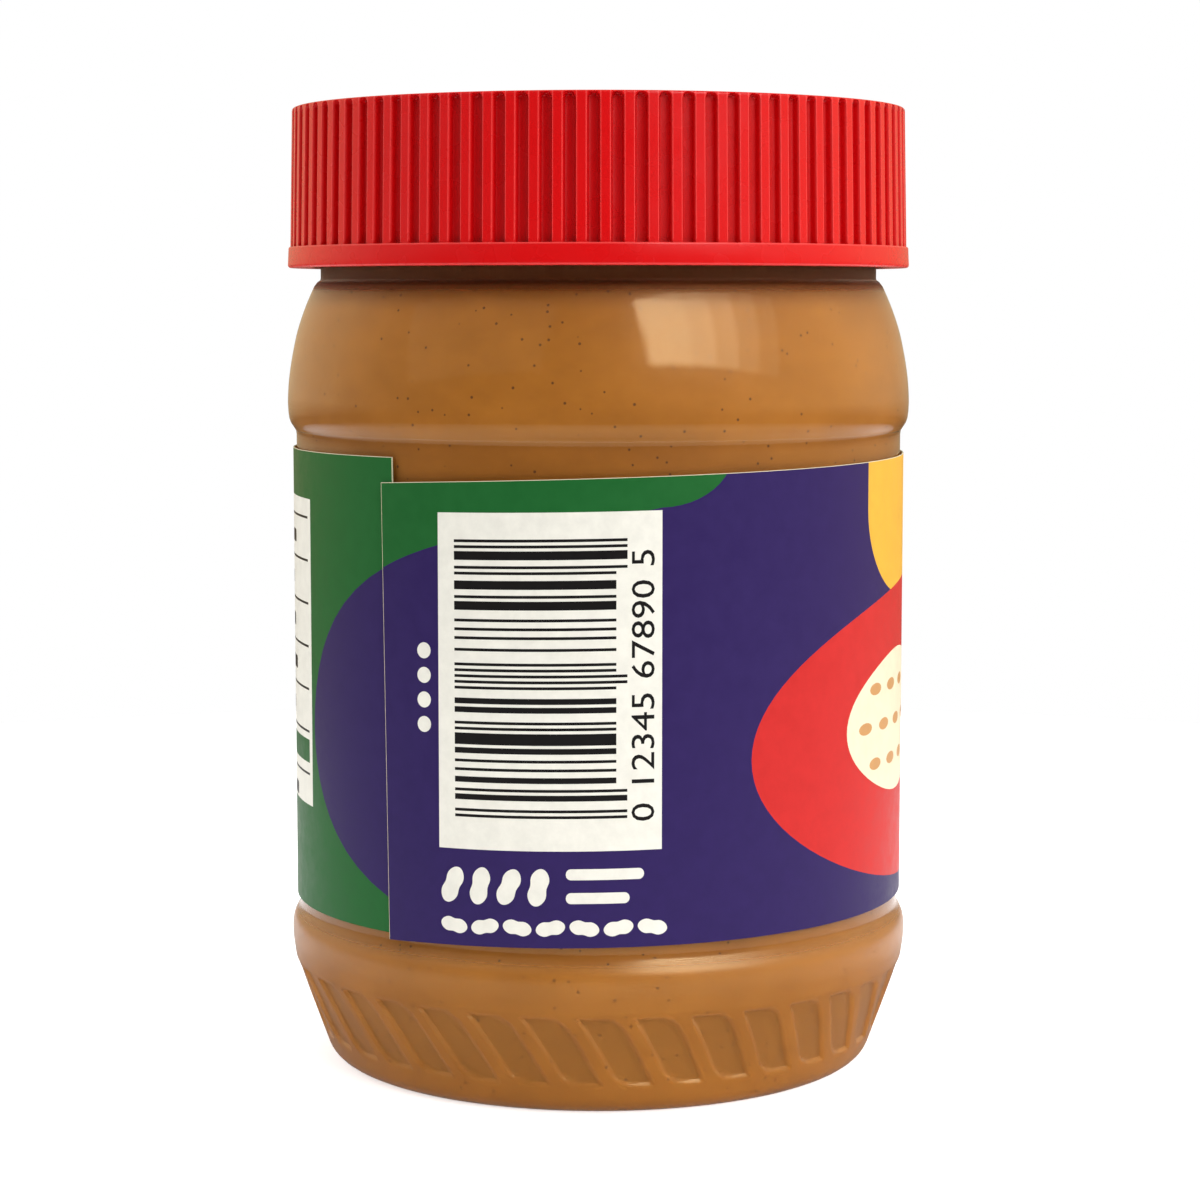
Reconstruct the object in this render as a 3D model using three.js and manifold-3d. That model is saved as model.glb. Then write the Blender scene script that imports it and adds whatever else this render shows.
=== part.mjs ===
// A full peanut butter jar: a clear plastic jar with a slanted-rib heel, its contents,
// a paper label wrapped once round it and a ribbed screw cap.
// Millimetres, +Z up. The origin is the middle of the ring the jar stands on.
// Angles are in degrees, from the side that faces -Y towards +X.

import * as THREE from 'three';
import { mergeVertices } from 'three/addons/utils/BufferGeometryUtils.js';
import Module from 'manifold-3d';

const wasm = await Module();
wasm.setup();

// Steps round the turned pieces
const jarSteps = 48;
const contentsSteps = 24;
const capSteps = 44;

// Jar wall
const wall = 0.9;
const ringInner = 27;
const pushUpHeight = 4.2;
const heelArc = 3;
const heelCorner = 34.14; // where the heel's cone would meet the floor
const heelLean = 0.347; // radians from upright
const bulge = [[39.05, 14.3], [39.25, 16.8], [38.9, 18.8]]; // [radius, height] pairs
const panelRadius = 38.2;
const panelBottom = 20;
const panelTop = 78.7;
const shoulder = [[38.6, 80], [39.24, 83], [38.74, 88.5], [37.21, 94.5], [35.89, 97.5]];
const neckRadius = 35;
const neckBottom = 99.2;
const mouthHeight = 117.6;
const neckWall = 1.4;
const floorCorner = 30.54; // where the inside's floor ends
const wallFoot = 2.2; // height at which the inside wall begins

// Slanted ribs between sunk panels on the heel
const ribCount = 36;
const ribBottom = 3.5;
const ribTop = 12.8;
const sinkDepth = 0.45;
const sinkRamp = 0.45;
const ribWidth = 1.3;
const ribRoot = 0.35;
const ribTurnPerMm = 0.81; // degrees that a rib turns for each mm down
const ribAngleAtTop = -5.1;
const ribEndOverlap = 0.3;
const ribRootWidth = 1.4; // shares of a rib's width
const ribFaceWidth = 0.8;
const ledge = 0.1; // how far the sunk band's upper edge stays under the cone

// Contents
const contentsGap = 0.3;
const fillHeight = 104;

// Label
const labelRadius = 38.45;
const labelThickness = 0.2;
const labelStart = -41; // the outer end, which lies over the inner one
const labelTurn = 363.2;
const labelTop = { start: 74.7, rise: 3.1, over: 100 };
const labelBottom = { start: 20.2, rise: 1.5, over: 45, dip: 0.7, dipFrom: 120, dipTo: 320 };
const overlapLift = 0.3;
const liftEnd = 8;
const liftFull = 2.6;
const labelStep = 8;

// Cap
const capBottom = 100;
const capTop = 119.7;
const capInner = 36.2;
const capRoof = 1.6;
const flangeHeight = 2.6;
const flangeRadius = 39.05;
const flangeEdge = 0.35;
const capRibs = 88;
const capRibAngle = 1.25;
const ribSunk = 0.3; // how far the ribs reach into the flange
const capRibRadius = 38.86;
const capTaper = 0.021; // how much the skirt's radius falls for each mm up
const grooveDepth = 0.8;
const grooveShare = 0.5; // of a rib's pitch, at the outer face
const grooveFloorShare = 0.3;
const grooveTop = 119.2;
const topEdge = 0.5;

const radians = THREE.MathUtils.degToRad;

// A turned solid. The profile is a list of [radius, height] that starts and ends on the axis
// or closes on itself.
function turned(profile, steps) {
  const points = profile.map(([r, z]) => new THREE.Vector2(r, z));
  const geometry = new THREE.LatheGeometry(points, steps);
  geometry.rotateX(Math.PI / 2);
  return geometry;
}

// Points along a smooth curve through a few [radius, height] pairs.
function smooth(pairs, divisions) {
  const curve = new THREE.SplineCurve(pairs.map(([r, z]) => new THREE.Vector2(r, z)));
  return curve.getPoints(divisions).map((p) => [p.x, p.y]);
}

// Points on an arc about [r, z], from one angle to another, in radians from outward.
function arc([r, z], radius, from, to, divisions) {
  return Array.from({ length: divisions + 1 }, (_, i) => {
    const a = from + ((to - from) * i) / divisions;
    return [r + radius * Math.cos(a), z + radius * Math.sin(a)];
  });
}

function toManifold(geometry) {
  const bare = geometry.clone();
  bare.deleteAttribute('normal');
  bare.deleteAttribute('uv');
  const merged = mergeVertices(bare, 1e-4);
  const triangles = [];
  const index = merged.index.array;
  for (let i = 0; i < index.length; i += 3) {
    const [a, b, c] = index.slice(i, i + 3);
    if (a !== b && b !== c && c !== a) {
      triangles.push(a, b, c);
    }
  }
  return new wasm.Manifold(new wasm.Mesh({
    numProp: 3,
    vertProperties: new Float32Array(merged.attributes.position.array),
    triVerts: new Uint32Array(triangles),
  }));
}

function toGeometry(manifold) {
  const mesh = manifold.getMesh();
  const geometry = new THREE.BufferGeometry();
  geometry.setAttribute('position', new THREE.BufferAttribute(new Float32Array(mesh.vertProperties), 3));
  geometry.setIndex(new THREE.BufferAttribute(new Uint32Array(mesh.triVerts), 1));
  geometry.computeVertexNormals();
  return geometry;
}

function coneRadius(z) {
  return heelCorner + Math.tan(heelLean) * z;
}

// Jar
// From the middle of the underside out to the ring and up the outside to the mouth.
function jarOutside() {
  const arcCentre = heelCorner - (heelArc * (1 - Math.sin(heelLean))) / Math.cos(heelLean);
  return [
    ...pushUp(ringInner, 0),
    [arcCentre, 0],
    ...arc([arcCentre, heelArc], heelArc, -Math.PI / 2, -heelLean, 2).slice(1),
    [coneRadius(ribBottom), ribBottom],
    [coneRadius(ribBottom + sinkRamp) - sinkDepth, ribBottom + sinkRamp],
    [coneRadius(ribTop - sinkRamp) - sinkDepth, ribTop - sinkRamp],
    [coneRadius(ribTop) - ledge, ribTop],
    ...smooth([...bulge, [panelRadius, panelBottom]], 4),
    [panelRadius, panelTop],
    ...smooth([...shoulder, [neckRadius, neckBottom]], 6),
    [neckRadius, mouthHeight],
  ];
}

// The dome under the jar, from the axis out to a radius, raised by a height.
function pushUp(radius, raise) {
  const sphere = (ringInner ** 2 + pushUpHeight ** 2) / (2 * pushUpHeight);
  const domeHeight = (r) => pushUpHeight - sphere + Math.sqrt(sphere ** 2 - r ** 2) + raise;
  return [0, 0.5, 1].map((share) => [radius * share, domeHeight(radius * share)]);
}

// The inside of the jar, or with a gap the outside of what fills it, from the bottom up.
function jarInside(gap) {
  const inset = wall + gap;
  const [, bulgeMiddle] = bulge;
  const [, ...upperShoulder] = shoulder;
  const inward = ([r, z]) => [r - inset, z];
  return [
    ...pushUp(ringInner, inset),
    [floorCorner - gap, inset],
    [coneRadius(wallFoot) - sinkDepth - inset, wallFoot],
    [coneRadius(ribTop) - sinkDepth - inset, ribTop],
    inward(bulgeMiddle),
    inward([panelRadius, panelBottom]),
    inward([panelRadius, panelTop]),
    ...upperShoulder.map(inward),
    [neckRadius - neckWall - gap, neckBottom],
  ];
}

// One straight bar across the sunk band. Its foot is in the wall and its face on the heel's cone.
function heelRib(angleAtTop) {
  const at = (z, angle, inward) => {
    const r = coneRadius(z) - inward;
    const a = radians(angle);
    return new THREE.Vector3(r * Math.sin(a), -r * Math.cos(a), z);
  };
  const low = ribBottom - ribEndOverlap;
  const high = ribTop + ribEndOverlap;
  const start = at(high, angleAtTop, 0);
  const end = at(low, angleAtTop + ribTurnPerMm * (high - low), 0);
  const along = end.clone().sub(start);
  const length = along.length();
  along.normalize();
  const middleAngle = radians(angleAtTop + (ribTurnPerMm * (high - low)) / 2);
  const outward = new THREE.Vector3(Math.sin(middleAngle), -Math.cos(middleAngle), 0);
  outward.z = -Math.tan(heelLean);
  const sideways = new THREE.Vector3().crossVectors(outward, along).normalize();
  outward.crossVectors(along, sideways).normalize();

  const depth = sinkDepth + ribRoot;
  const halfRoot = (ribWidth * ribRootWidth) / 2;
  const halfFace = (ribWidth * ribFaceWidth) / 2;
  const section = new THREE.Shape([
    new THREE.Vector2(-halfRoot, -depth),
    new THREE.Vector2(halfRoot, -depth),
    new THREE.Vector2(halfFace, 0),
    new THREE.Vector2(-halfFace, 0),
  ]);
  const bar = new THREE.ExtrudeGeometry(section, { depth: length, bevelEnabled: false });
  bar.applyMatrix4(new THREE.Matrix4().makeBasis(sideways, outward, along).setPosition(start));
  return bar;
}

function jarGeometry() {
  const inside = jarInside(0);
  const mouth = [neckRadius - neckWall, mouthHeight];
  const shell = turned([...jarOutside(), mouth, ...inside.reverse()], jarSteps);
  let jar = toManifold(shell);
  for (let i = 0; i < ribCount; i += 1) {
    jar = jar.add(toManifold(heelRib(ribAngleAtTop + (360 / ribCount) * i)));
  }
  return toGeometry(jar);
}

// Contents
function contentsGeometry() {
  const profile = jarInside(contentsGap);
  const top = neckRadius - neckWall - contentsGap;
  return turned([...profile, [top, fillHeight], [0, fillHeight]], contentsSteps);
}

// Label
// Heights of its edges, by the turn in degrees from its outer end. It is wound a little askew.
function labelTopAt(turn) {
  return labelTop.start + labelTop.rise * (1 - Math.exp(-turn / labelTop.over));
}

function labelBottomAt(turn) {
  const { start, rise, over, dip, dipFrom, dipTo } = labelBottom;
  return start + rise * (1 - Math.exp(-turn / over)) - dip * THREE.MathUtils.smoothstep(turn, dipFrom, dipTo);
}

// A thin strip that goes once round the jar, its outer end over its inner one.
function labelGeometry() {
  const turns = [0, liftFull, liftEnd];
  for (let t = Math.ceil(liftEnd / labelStep + 1) * labelStep; t < labelTurn; t += labelStep) {
    turns.push(t);
  }
  turns.push(labelTurn);
  const lift = (t) => overlapLift * (1 - THREE.MathUtils.smoothstep(t, liftFull, liftEnd));
  const place = (t, thickness) => {
    const a = radians(labelStart + t);
    const r = labelRadius + lift(t) + thickness;
    return new THREE.Vector2(r * Math.sin(a), -r * Math.cos(a));
  };
  const outline = [
    ...turns.map((t) => place(t, labelThickness)),
    ...turns.map((t) => place(t, 0)).reverse(),
  ];
  const strip = new THREE.ExtrudeGeometry(new THREE.Shape(outline), { depth: 1, bevelEnabled: false });

  // Each corner's turn comes back from its place. At the overlap, the layer tells the two ends apart.
  const position = strip.attributes.position;
  const middle = labelRadius + labelThickness + overlapLift / 6;
  for (let i = 0; i < position.count; i += 1) {
    const x = position.getX(i);
    const y = position.getY(i);
    let t = THREE.MathUtils.radToDeg(Math.atan2(x, -y)) - labelStart;
    t = THREE.MathUtils.euclideanModulo(t + 1, 360) - 1;
    const nearSeam = t < labelTurn - 360 + 1;
    if (nearSeam && Math.hypot(x, y) < middle) {
      t += 360;
    }
    const share = position.getZ(i);
    position.setZ(i, THREE.MathUtils.lerp(labelBottomAt(t), labelTopAt(t), share));
  }
  strip.computeVertexNormals();
  return strip;
}

// Cap
// The corners of one rib and groove, each a share of the pitch and how far inward it lies.
const ribCorners = [
  [-0.5 * (1 - grooveShare), 0],
  [0.5 * (1 - grooveShare), 0],
];
const grooveCorners = [
  [0.5 * (1 - grooveFloorShare), grooveDepth],
  [0.5 * (1 + grooveFloorShare), grooveDepth],
];

function skirtOutline(corners) {
  const points = [];
  for (let i = 0; i < capRibs; i += 1) {
    for (const [share, inward] of corners) {
      const a = radians(capRibAngle + (360 / capRibs) * (i + share));
      const r = capRibRadius - inward;
      points.push(new THREE.Vector2(r * Math.sin(a), -r * Math.cos(a)));
    }
  }
  return new THREE.Shape(points);
}

// An upright slab of the skirt, narrowed a little towards its top as a moulded skirt is.
function skirtSlab(corners, bottom, top, topInset) {
  const slab = new THREE.ExtrudeGeometry(skirtOutline(corners), { depth: top - bottom, bevelEnabled: false });
  const position = slab.attributes.position;
  for (let i = 0; i < position.count; i += 1) {
    const atTop = position.getZ(i) > 0;
    const z = atTop ? top : bottom;
    const inset = capTaper * (z - capBottom - flangeHeight) + (atTop ? topInset : 0);
    const scale = 1 - inset / capRibRadius;
    position.setXYZ(i, position.getX(i) * scale, position.getY(i) * scale, z);
  }
  return slab;
}

function capGeometry() {
  const ribs = skirtSlab([...ribCorners, ...grooveCorners], capBottom + flangeHeight - ribSunk, grooveTop, 0);
  const roof = skirtSlab(ribCorners, grooveTop, capTop, topEdge);
  const flange = turned([
    [0, capBottom],
    [flangeRadius - flangeEdge, capBottom],
    [flangeRadius, capBottom + flangeEdge],
    [flangeRadius - 0.1, capBottom + flangeHeight - flangeEdge],
    [flangeRadius - flangeEdge, capBottom + flangeHeight],
    [0, capBottom + flangeHeight],
  ], capSteps);
  const bore = turned([
    [0, capBottom - 1],
    [capInner, capBottom - 1],
    [capInner, capTop - capRoof],
    [0, capTop - capRoof],
  ], capSteps);
  const body = toManifold(ribs).add(toManifold(roof)).add(toManifold(flange));
  return toGeometry(body.subtract(toManifold(bore)));
}

function named(name, geometry, color, roughness) {
  const material = new THREE.MeshStandardMaterial({ color, roughness, metalness: 0 });
  const mesh = new THREE.Mesh(geometry, material);
  mesh.name = name;
  return mesh;
}

const peanutButterJar = new THREE.Group();
peanutButterJar.add(named('jar', jarGeometry(), 0xd9c7ae, 0.15));
peanutButterJar.add(named('peanut_butter', contentsGeometry(), 0xb47639, 0.6));
peanutButterJar.add(named('label', labelGeometry(), 0x35265f, 0.4));
peanutButterJar.add(named('cap', capGeometry(), 0xcb1517, 0.35));

export default peanutButterJar;
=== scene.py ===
import math
import bmesh
import bpy
from mathutils import Matrix, Quaternion, Vector
from mathutils.geometry import delaunay_2d_cdt


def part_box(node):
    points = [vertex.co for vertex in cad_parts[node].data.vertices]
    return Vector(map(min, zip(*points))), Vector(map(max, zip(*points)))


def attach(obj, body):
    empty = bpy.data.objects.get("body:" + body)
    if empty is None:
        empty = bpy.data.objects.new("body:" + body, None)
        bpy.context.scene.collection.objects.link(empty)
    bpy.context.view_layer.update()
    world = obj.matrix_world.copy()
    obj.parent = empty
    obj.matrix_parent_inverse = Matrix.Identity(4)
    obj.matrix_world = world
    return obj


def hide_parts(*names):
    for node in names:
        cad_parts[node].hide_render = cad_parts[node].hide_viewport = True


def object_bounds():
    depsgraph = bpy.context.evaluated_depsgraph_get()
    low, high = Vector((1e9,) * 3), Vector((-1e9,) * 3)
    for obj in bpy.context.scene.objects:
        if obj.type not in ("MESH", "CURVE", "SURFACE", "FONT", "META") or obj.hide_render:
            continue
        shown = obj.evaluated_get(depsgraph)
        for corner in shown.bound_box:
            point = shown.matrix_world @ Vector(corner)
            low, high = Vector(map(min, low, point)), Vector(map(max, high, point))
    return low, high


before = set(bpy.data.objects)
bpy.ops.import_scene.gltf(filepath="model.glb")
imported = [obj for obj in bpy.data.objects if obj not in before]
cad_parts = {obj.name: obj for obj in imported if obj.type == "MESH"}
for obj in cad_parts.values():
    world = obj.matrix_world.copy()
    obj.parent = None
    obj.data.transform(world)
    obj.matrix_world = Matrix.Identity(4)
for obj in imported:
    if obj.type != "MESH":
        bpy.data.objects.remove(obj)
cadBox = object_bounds()
mm = 0.001
print("frame loaded")


# camera, where the photo was taken from

cameraPlace = {"eye": (0.2, -378.6, 96.3), "lookDown": 5.8, "lens": 89.28, "sensor": 36.0}


def makeCamera():
    data = bpy.data.cameras.new("camera")
    data.lens = cameraPlace["lens"]
    data.sensor_width = cameraPlace["sensor"]
    data.clip_start = 0.01
    camera = bpy.data.objects.new("camera", data)
    camera.location = Vector(cameraPlace["eye"]) * mm
    camera.rotation_euler = (math.radians(90 - cameraPlace["lookDown"]), 0, 0)
    bpy.context.scene.collection.objects.link(camera)
    bpy.context.scene.camera = camera


makeCamera()
print("camera placed")


# sizes read from the frame, in mm

def nodeBox(name):
    low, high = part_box(name)
    return low / mm, high / mm


jarHigh = nodeBox("jar")[1]
fillHigh = nodeBox("peanut_butter")[1]
capLow, capHigh = nodeBox("cap")
jarWidest = jarHigh.x - 0.01
capWidest = capHigh.x


# shape helpers, in mm and degrees

# angles run from the camera's side (-Y) towards +X
def onRound(angle, radius, height):
    a = math.radians(angle)
    return Vector((radius * math.sin(a), -radius * math.cos(a), height)) * mm


def blendTo(a, b, share):
    return a + (b - a) * share


def easeStep(low, high, x):
    t = min(max((x - low) / (high - low), 0.0), 1.0)
    return t * t * (3 - 2 * t)


# a smooth line through (radius, height) points, in steps of about the given length
def smoothLine(points, step):
    ends = [points[0]] + list(points) + [points[-1]]
    line = [points[0]]
    for i in range(1, len(ends) - 2):
        p0, p1, p2, p3 = (Vector(p) for p in ends[i - 1:i + 3])
        count = max(1, round((p2 - p1).length / step))
        for k in range(1, count + 1):
            t = k / count
            point = 0.5 * (2 * p1 + (p2 - p0) * t + (2 * p0 - 5 * p1 + 4 * p2 - p3) * t ** 2
                           + (3 * p1 - p0 - 3 * p2 + p3) * t ** 3)
            line.append((point.x, point.y))
    return line


# points on an arc about a centre, from one angle to another, 0 being outwards and 90 up
def arcLine(centre, radius, start, end, count):
    angles = [math.radians(blendTo(start, end, i / count)) for i in range(count + 1)]
    return [(centre[0] + radius * math.cos(a), centre[1] + radius * math.sin(a)) for a in angles]


# the same line moved inwards by a distance that may change with height
def insetLine(line, insetAt):
    moved = []
    for i, (r, z) in enumerate(line):
        before = Vector(line[max(i - 1, 0)])
        after = Vector(line[min(i + 1, len(line) - 1)])
        along = (after - before).normalized()
        inset = insetAt(z)
        moved.append((max(r - along.y * inset, 0.0), z + along.x * inset))
    return moved


def newPiece(name, points, faces):
    mesh = bpy.data.meshes.new(name)
    mesh.from_pydata(points, [], faces)
    piece = bpy.data.objects.new(name, mesh)
    bpy.context.scene.collection.objects.link(piece)
    return piece


# Geometry Nodes: one wedge, turned round the axis as often as it fits and welded

def repeatRoundTree():
    tree = bpy.data.node_groups.new("repeatRound", "GeometryNodeTree")
    for socketName, socketType in (("Geometry", "NodeSocketGeometry"), ("Wedges", "NodeSocketInt"),
                                   ("Weld", "NodeSocketFloat"), ("Finish", "NodeSocketMaterial")):
        tree.interface.new_socket(socketName, in_out="INPUT", socket_type=socketType)
    tree.interface.new_socket("Geometry", in_out="OUTPUT", socket_type="NodeSocketGeometry")
    add = tree.nodes.new
    link = tree.links.new
    given = add("NodeGroupInput")
    points = add("GeometryNodePoints")
    index = add("GeometryNodeInputIndex")
    share = add("ShaderNodeMath")
    share.operation = "DIVIDE"
    turn = add("ShaderNodeMath")
    turn.operation = "MULTIPLY"
    turn.inputs[1].default_value = 2 * math.pi
    aroundZ = add("ShaderNodeCombineXYZ")
    rotation = add("FunctionNodeEulerToRotation")
    place = add("GeometryNodeInstanceOnPoints")
    real = add("GeometryNodeRealizeInstances")
    weld = add("GeometryNodeMergeByDistance")
    smooth = add("GeometryNodeSetShadeSmooth")
    paint = add("GeometryNodeSetMaterial")
    result = add("NodeGroupOutput")
    link(given.outputs["Wedges"], points.inputs["Count"])
    link(index.outputs[0], share.inputs[0])
    link(given.outputs["Wedges"], share.inputs[1])
    link(share.outputs[0], turn.inputs[0])
    link(turn.outputs[0], aroundZ.inputs["Z"])
    link(aroundZ.outputs[0], rotation.inputs[0])
    link(points.outputs[0], place.inputs["Points"])
    link(given.outputs["Geometry"], place.inputs["Instance"])
    link(rotation.outputs[0], place.inputs["Rotation"])
    link(place.outputs[0], real.inputs[0])
    link(real.outputs[0], weld.inputs["Geometry"])
    link(given.outputs["Weld"], weld.inputs["Distance"])
    link(weld.outputs[0], smooth.inputs["Geometry"])
    link(smooth.outputs[0], paint.inputs["Geometry"])
    link(given.outputs["Finish"], paint.inputs["Material"])
    link(paint.outputs[0], result.inputs[0])
    return tree


repeatRound = repeatRoundTree()


# rows of points become a wedge, and the wedge a whole round piece as one plain mesh
def roundPiece(name, rows, wedges, finish, attributes=None, sharpAngle=35):
    points = [p for row in rows for p in row]
    starts = [sum(len(r) for r in rows[:i]) for i in range(len(rows))]
    faces = []
    for i in range(len(rows) - 1):
        if len(rows[i]) == len(rows[i + 1]):
            a, b = starts[i], starts[i + 1]
            faces += [(a + j, a + j + 1, b + j + 1, b + j) for j in range(len(rows[i]) - 1)]
        else:  # a flat stretch where the columns thin out
            lower = [starts[i] + j for j in range(len(rows[i]))]
            upper = [starts[i + 1] + j for j in range(len(rows[i + 1]))]
            faces.append(lower + upper[::-1])
    piece = newPiece(name, points, faces)
    for attributeName, values in (attributes or {}).items():
        piece.data.attributes.new(attributeName, "FLOAT", "POINT").data.foreach_set("value", values)
    modifier = piece.modifiers.new("round", "NODES")
    modifier.node_group = repeatRound
    settings = {"Wedges": wedges, "Weld": 0.004 * mm, "Finish": finish}
    for item in repeatRound.interface.items_tree:
        if item.in_out == "INPUT" and item.name in settings:
            modifier[item.identifier] = settings[item.name]
    evaluated = piece.evaluated_get(bpy.context.evaluated_depsgraph_get())
    whole = bpy.data.meshes.new_from_object(evaluated)
    piece.modifiers.clear()
    piece.data = whole
    whole.name = name
    whole.set_sharp_from_angle(angle=math.radians(sharpAngle))
    print(name, len(whole.polygons), "faces")
    return piece


# materials

def startMaterial(name, **settings):
    material = bpy.data.materials.new(name)
    material.use_nodes = True
    tree = material.node_tree
    shader = next(n for n in tree.nodes if n.type == "BSDF_PRINCIPLED")
    for socketName, value in settings.items():
        shader.inputs[socketName.replace("_", " ")].default_value = value
    return material, tree, shader


def objectNoise(tree, scale, detail=3.0, roughness=0.5, stretch=(1, 1, 1)):
    place = tree.nodes.new("ShaderNodeTexCoord")
    mapping = tree.nodes.new("ShaderNodeMapping")
    mapping.inputs["Scale"].default_value = stretch
    noise = tree.nodes.new("ShaderNodeTexNoise")
    noise.inputs["Scale"].default_value = scale
    noise.inputs["Detail"].default_value = detail
    noise.inputs["Roughness"].default_value = roughness
    tree.links.new(place.outputs["Object"], mapping.inputs["Vector"])
    tree.links.new(mapping.outputs[0], noise.inputs["Vector"])
    return noise.outputs["Fac"]


def objectHeight(tree):
    place = tree.nodes.new("ShaderNodeTexCoord")
    split = tree.nodes.new("ShaderNodeSeparateXYZ")
    tree.links.new(place.outputs["Object"], split.inputs[0])
    return split.outputs["Z"]


# a value stored on the mesh's points
def storedValue(tree, attributeName):
    node = tree.nodes.new("ShaderNodeAttribute")
    node.attribute_name = attributeName
    return node.outputs["Fac"]


# two values, or a value and a number, put together by one operation
def combined(tree, operation, *values):
    node = tree.nodes.new("ShaderNodeMath")
    node.operation = operation
    for socket, value in zip(node.inputs, values):
        if isinstance(value, (int, float)):
            socket.default_value = value
        else:
            tree.links.new(value, socket)
    return node.outputs[0]


# a value moved from one range into another
def ranged(tree, value, low, high, toLow, toHigh):
    node = tree.nodes.new("ShaderNodeMapRange")
    tree.links.new(value, node.inputs["Value"])
    for socketName, number in (("From Min", low), ("From Max", high), ("To Min", toLow), ("To Max", toHigh)):
        node.inputs[socketName].default_value = number
    return node.outputs["Result"]


# a value read off a line of (position, value) stops
def rampedValue(tree, value, stops):
    node = tree.nodes.new("ShaderNodeValToRGB")
    tree.links.new(value, node.inputs[0])
    elements = node.color_ramp.elements
    while len(elements) < len(stops):
        elements.new(0.5)
    for element, (position, number) in zip(elements, stops):
        element.position = position
        element.color = (number, number, number, 1)
    return node.outputs[0]


def mixedColour(tree, share, first, second):
    node = tree.nodes.new("ShaderNodeMix")
    node.data_type = "RGBA"
    tree.links.new(share, node.inputs["Factor"])
    for socket, colour in ((node.inputs[6], first), (node.inputs[7], second)):
        if isinstance(colour, tuple):
            socket.default_value = (*colour, 1)
        else:
            tree.links.new(colour, socket)
    return node.outputs[2]


def addBump(tree, shader, height, strength, distance):
    bump = tree.nodes.new("ShaderNodeBump")
    bump.inputs["Strength"].default_value = strength
    bump.inputs["Distance"].default_value = distance
    tree.links.new(height, bump.inputs["Height"])
    tree.links.new(bump.outputs[0], shader.inputs["Normal"])


# clear plastic bends what is behind it, and lets lamps through to the contents
clearLook = {
    "tint": (0.99, 0.98, 0.96, 1), "glossTint": (1.0, 0.77, 0.44, 1), "ior": 1.5, "roughness": (0.07, 0.12),
    # hardly any light comes in under the cap, so the top of the shoulder and the neck mirror little
    "neckIor": 1.12, "neckFrom": 95.6, "neckFull": 97.8, "neckRoughness": 0.6, "neckRoughFrom": 96.8,
    # the low bulge and the heel are worn a little dull
    "lowRoughness": 0.3, "lowFrom": 20.8, "lowFull": 18.6,
}


def clearPlastic():
    look = clearLook
    material, tree, shader = startMaterial("clearPlastic", Base_Color=look["tint"], Transmission_Weight=1.0,
                                           IOR=look["ior"], Specular_Tint=look["glossTint"])
    flow = objectNoise(tree, 55, 2.0, 0.5, (1, 1, 0.35))
    height = objectHeight(tree)
    neckFull = look["neckFull"] * mm
    ior = ranged(tree, height, look["neckFrom"] * mm, neckFull, look["ior"], look["neckIor"])
    tree.links.new(ior, shader.inputs["IOR"])
    low = ranged(tree, height, look["lowFrom"] * mm, look["lowFull"] * mm, 0, look["lowRoughness"])
    neck = ranged(tree, height, look["neckRoughFrom"] * mm, neckFull, 0, look["neckRoughness"])
    rough = combined(tree, "MAXIMUM", ranged(tree, flow, 0.3, 0.7, *look["roughness"]), low)
    tree.links.new(combined(tree, "MAXIMUM", rough, neck), shader.inputs["Roughness"])
    addBump(tree, shader, flow, 0.12, 0.4 * mm)
    path = tree.nodes.new("ShaderNodeLightPath")
    through = tree.nodes.new("ShaderNodeBsdfTransparent")
    surface = shader.outputs[0]
    for ray in ("Is Diffuse Ray", "Is Shadow Ray"):
        swap = tree.nodes.new("ShaderNodeMixShader")
        tree.links.new(path.outputs[ray], swap.inputs[0])
        tree.links.new(surface, swap.inputs[1])
        tree.links.new(through.outputs[0], swap.inputs[2])
        surface = swap.outputs[0]
    output = next(n for n in tree.nodes if n.type == "OUTPUT_MATERIAL")
    tree.links.new(surface, output.inputs["Surface"])
    return material


# ground nuts: a tan brown paste, a little mottled, with a few dark bits of skin; painted shade darkens the
# heel's sunk panels, the paste along the label and under the cap
pasteLook = {
    "light": (0.345, 0.121, 0.0108), "dark": (0.275, 0.093, 0.0070), "speck": (0.055, 0.016, 0.004),
    # painted shade for the heel's sunk panels, and its share
    "sunkenShade": (0.215, 0.085, 0.012), "sunkenShadeShare": 0.42,
    # the deep tone is the colour of the painted shade
    "deep": (0.10, 0.026, 0.003),
    # share of the deep tone, a painted shade, by height: along both edges of the label and behind it, and
    # under the cap, where little light comes in
    "paintedShadeAt": ((0, 0.0), (17.7, 0.0), (18.8, 0.28), (77.4, 0.22), (78.8, 0.24), (79.5, 0.36), (80.1, 0.0),
               (94.8, 0.0), (96.6, 0.5), (97.9, 1.0)),
    "speckCell": 1.5, "speckSize": 0.13, "speckCore": 0.0975, "speckDepth": 0.8, "speckShare": 0.75,
}


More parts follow.
